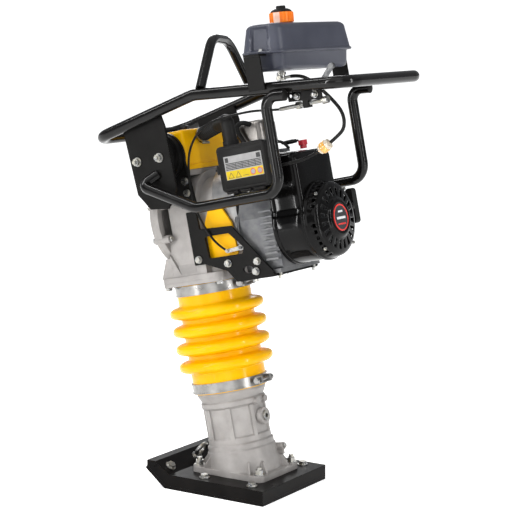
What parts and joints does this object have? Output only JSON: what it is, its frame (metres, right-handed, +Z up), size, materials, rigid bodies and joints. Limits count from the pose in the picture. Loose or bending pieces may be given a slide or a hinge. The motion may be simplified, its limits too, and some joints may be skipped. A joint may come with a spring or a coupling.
{
  "type": "tamping rammer",
  "caption": "Upright tamping rammer: tilted sprung leg with bellows on a flat shoe, gearcase, small engine, fuel tank and a loop handle on rubber mounts.",
  "frame": {"origin": "on the ground, at the centre of the flat part of the sole", "axes": "+X forward over the turned-up toe, +Y to the machine's left, +Z up"},
  "size_m": [0.7166, 0.406, 1.1586],
  "materials": {
    "painted_black": "gloss black enamel",
    "gloss_black": "gloss black plastic",
    "cast_silver": "silver painted casting",
    "cast_iron": "silver painted casting",
    "engine_grey": "die-cast engine grey",
    "bright_alu": "polished casting",
    "zinc": "bright zinc plating",
    "steel": "ground steel",
    "yellow_rubber": "satin yellow rubber",
    "yellow_plastic": "gloss yellow",
    "black_rubber": "matt black rubber",
    "black_plastic": "satin black plastic",
    "tank_grey": "slate blue-grey plastic",
    "cap_orange": "orange plastic",
    "switch_red": "red plastic",
    "board_black": "black painted laminate",
    "filter_clear": "translucent amber plastic",
    "rope": "braided rope"
  },
  "bodies": {
    "foot": {"sole_plate": "painted_black", "shoe_board": "board_black", "shoe_bolts": "zinc", "toe_eye_bolt": "zinc", "foot_casting": "cast_iron", "foot_fasteners": "zinc", "spring_cylinder": "steel", "lower_clamp": "zinc", "bellows": "yellow_rubber", "leg_springs": "steel"},
    "housing": {"upper_clamp": "zinc", "guide_cylinder": "cast_silver", "crankcase": "cast_silver", "gear_cover": "cast_silver", "housing_bolts": "zinc", "mount_brackets": "painted_black", "shock_mounts": "black_rubber", "clutch_housing": "bright_alu", "clutch_guard": "yellow_plastic", "intake_housing": "yellow_plastic", "engine_block": "engine_grey", "engine_head": "engine_grey", "fan_shroud": "painted_black", "recoil_cover": "painted_black", "engine_bolts": "zinc", "engine_bracket": "painted_black", "air_cleaner_box": "black_plastic", "intake_hose": "black_rubber", "muffler": "steel", "carburettor": "bright_alu", "plug_lead": "black_rubber", "throttle_cable": "black_plastic", "fuel_hose": "black_rubber", "fuel_filter": "filter_clear"},
    "gear": {"crank_gear": "steel"},
    "drum": {"clutch_drum": "steel"},
    "piston": {"drive_piston": "steel"},
    "engine_shaft": {"crankshaft": "steel"},
    "cleaner_lid": {"cleaner_cover": "black_plastic"},
    "latch": {"cleaner_latch": "black_plastic"},
    "arm": {"throttle_arm": "zinc"},
    "choke": {"choke_lever": "black_plastic"},
    "switch": {"stop_switch": "switch_red"},
    "pulley": {"recoil_pulley": "black_plastic"},
    "grip": {"recoil_grip": "black_plastic", "starter_rope": "rope"},
    "handle": {"handle_front": "painted_black", "handle_rear": "painted_black", "hoop_left": "painted_black", "hoop_right": "painted_black", "lifting_arch": "painted_black", "side_plates": "painted_black", "plate_bolts": "zinc", "fuel_tank": "tank_grey", "tank_supports": "painted_black", "fuel_tap": "zinc", "throttle_bracket": "zinc"},
    "lever": {"throttle_lever": "zinc"},
    "cap": {"fuel_cap": "cap_orange"},
    "tap_lever": {"fuel_tap_lever": "black_plastic"}
  },
  "joints": [
    {"name": "leg_stroke", "type": "slide", "parent": "foot", "child": "housing", "axis": [0.2079, 0, 0.9781], "range_m": [-0.03, 0.03], "stiffness_N_per_m": 60000, "deforming": ["bellows", "leg_springs"]},
    {"name": "handle_rock", "type": "hinge", "parent": "housing", "child": "handle", "pos_m": [0.16804, 0, 0.79771], "axis": [0, 1, 0], "range_deg": [-4, 4], "stiffness_Nm_per_rad": 1500, "deforming": ["throttle_cable", "fuel_hose"]},
    {"name": "gear_spin", "type": "hinge", "parent": "housing", "child": "gear", "pos_m": [0.09999, 0, 0.68438], "axis": [0.9781, 0, -0.2079], "continuous": true},
    {"name": "drum_spin", "type": "hinge", "parent": "housing", "child": "drum", "pos_m": [0.08232, 0, 0.60124], "axis": [0.9781, 0, -0.2079], "continuous": true},
    {"name": "piston_slide", "type": "slide", "parent": "housing", "child": "piston", "axis": [0.2079, 0, 0.9781], "range_m": [0, 0.03], "deforming": ["leg_springs"]},
    {"name": "engine_spin", "type": "hinge", "parent": "housing", "child": "engine_shaft", "pos_m": [-0.12603, 0, 0.64552], "axis": [0.9781, 0, -0.2079], "continuous": true},
    {"name": "cleaner_lid_open", "type": "hinge", "parent": "housing", "child": "cleaner_lid", "pos_m": [-0.10349, 0.152, 0.74194], "axis": [-0.9781, 0, 0.2079], "range_deg": [0, 60]},
    {"name": "latch_open", "type": "slide", "parent": "cleaner_lid", "child": "latch", "axis": [0.9781, 0, -0.2079], "range_m": [0, 0.006]},
    {"name": "throttle_lever_turn", "type": "hinge", "parent": "handle", "child": "lever", "pos_m": [-0.29021, 0.152, 0.96974], "axis": [0, 1, 0], "range_deg": [0, 40]},
    {"name": "throttle_arm_turn", "type": "hinge", "parent": "housing", "child": "arm", "pos_m": [-0.04717, 0.09, 0.59809], "axis": [0, -1, 0], "range_deg": [0, 20]},
    {"name": "choke_turn", "type": "hinge", "parent": "housing", "child": "choke", "pos_m": [-0.05359, 0.076, 0.76507], "axis": [0.9781, 0, -0.2079], "range_deg": [0, 28]},
    {"name": "stop_switch_turn", "type": "hinge", "parent": "housing", "child": "switch", "pos_m": [-0.15945, -0.004, 0.8346], "axis": [0.2079, 0, 0.9781], "range_deg": [0, 60]},
    {"name": "grip_pull", "type": "slide", "parent": "housing", "child": "grip", "axis": [0, -1, 0], "range_m": [0, 0.36], "stiffness_N_per_m": 8, "springref_m": -0.1},
    {"name": "pulley_spin", "type": "hinge", "parent": "housing", "child": "pulley", "pos_m": [-0.23949, 0, 0.66964], "axis": [0.9781, 0, -0.2079], "range_deg": [-10, 560]},
    {"name": "fuel_cap_turn", "type": "hinge", "parent": "handle", "child": "cap", "pos_m": [-0.13907, 0.06, 1.13037], "axis": [0.102, 0, 0.9948], "range_deg": [-360, 0]},
    {"name": "fuel_tap_turn", "type": "hinge", "parent": "handle", "child": "tap_lever", "pos_m": [-0.15615, 0.098, 0.99441], "axis": [0, 1, 0], "range_deg": [0, 90]}
  ],
  "couplings": [
    {"joint": "drum_spin", "follows": "gear_spin", "ratio": -3.6667},
    {"joint": "throttle_arm_turn", "follows": "throttle_lever_turn", "ratio": 0.5},
    {"joint": "pulley_spin", "follows": "grip_pull", "rad_per_m": 27}
  ]
}
